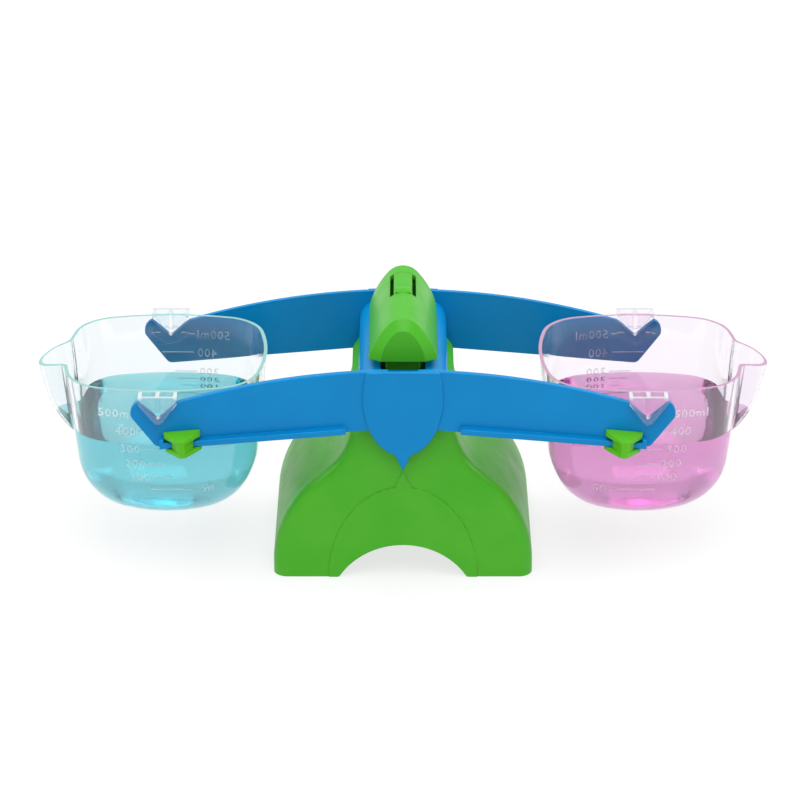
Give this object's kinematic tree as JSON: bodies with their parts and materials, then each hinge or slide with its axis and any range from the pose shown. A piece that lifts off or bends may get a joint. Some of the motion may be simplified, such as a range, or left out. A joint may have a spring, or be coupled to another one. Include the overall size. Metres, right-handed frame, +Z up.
{
  "type": "bucket balance",
  "caption": "Classroom balance: a bell-shaped stand, a beam on knife edges, clear hanging buckets with spouts, and sliding compensators on rails.",
  "frame": {"origin": "on the table under the middle of the whole balance, compensators included; the middle plane of the stand is 4.15 mm behind it, towards +Y", "axes": "+X along the beam to the viewer's right, -Y towards the viewer and the side with the compensators, +Z up"},
  "size_m": [0.3972, 0.1284, 0.1483],
  "materials": {
    "stand_green": "moulded, satin gloss",
    "slider_green": "moulded, satin gloss",
    "beam_blue": "moulded, satin gloss",
    "bearing_white": "moulded",
    "knife_steel": "ground",
    "bucket_aqua": "clear, polished",
    "bucket_pink": "clear, polished"
  },
  "bodies": {
    "stand": {"base_shell": "stand_green", "pivot_post": "stand_green", "cap": "stand_green", "front_bearing": "bearing_white", "rear_bearing": "bearing_white"},
    "latch": {"cap_latch": "stand_green"},
    "beam": {"hub_saddle": "beam_blue", "front_shield": "beam_blue", "rear_shield": "beam_blue", "front_left_arm": "beam_blue", "front_right_arm": "beam_blue", "rear_left_arm": "beam_blue", "rear_right_arm": "beam_blue", "front_knife": "knife_steel", "rear_knife": "knife_steel"},
    "left_slider": {"left_slider": "slider_green"},
    "right_slider": {"right_slider": "slider_green"},
    "left_bucket": {"left_bucket": "bucket_aqua"},
    "right_bucket": {"right_bucket": "bucket_pink"}
  },
  "joints": [
    {"name": "beam_tilt", "type": "hinge", "parent": "stand", "child": "beam", "pos_m": [0, 0.00415, 0.112], "axis": [0, 1, 0], "range_deg": [-10, 10]},
    {"name": "left_bucket_swing", "type": "hinge", "parent": "beam", "child": "left_bucket", "pos_m": [-0.13, 0.00415, 0.09988], "axis": [0, -1, 0], "range_deg": [-10, 10]},
    {"name": "right_bucket_swing", "type": "hinge", "parent": "beam", "child": "right_bucket", "pos_m": [0.13, 0.00415, 0.09988], "axis": [0, -1, 0], "range_deg": [-10, 10]},
    {"name": "left_slider_travel", "type": "slide", "parent": "beam", "child": "left_slider", "axis": [0.9963, 0, 0.086], "range_m": [0, 0.075]},
    {"name": "right_slider_travel", "type": "slide", "parent": "beam", "child": "right_slider", "axis": [-0.9963, 0, 0.086], "range_m": [0, 0.075]},
    {"name": "latch_press", "type": "hinge", "parent": "stand", "child": "latch", "pos_m": [0, 0.03165, 0.1447], "axis": [1, 0, 0], "range_deg": [0, 6], "stiffness_Nm_per_rad": 1}
  ]
}
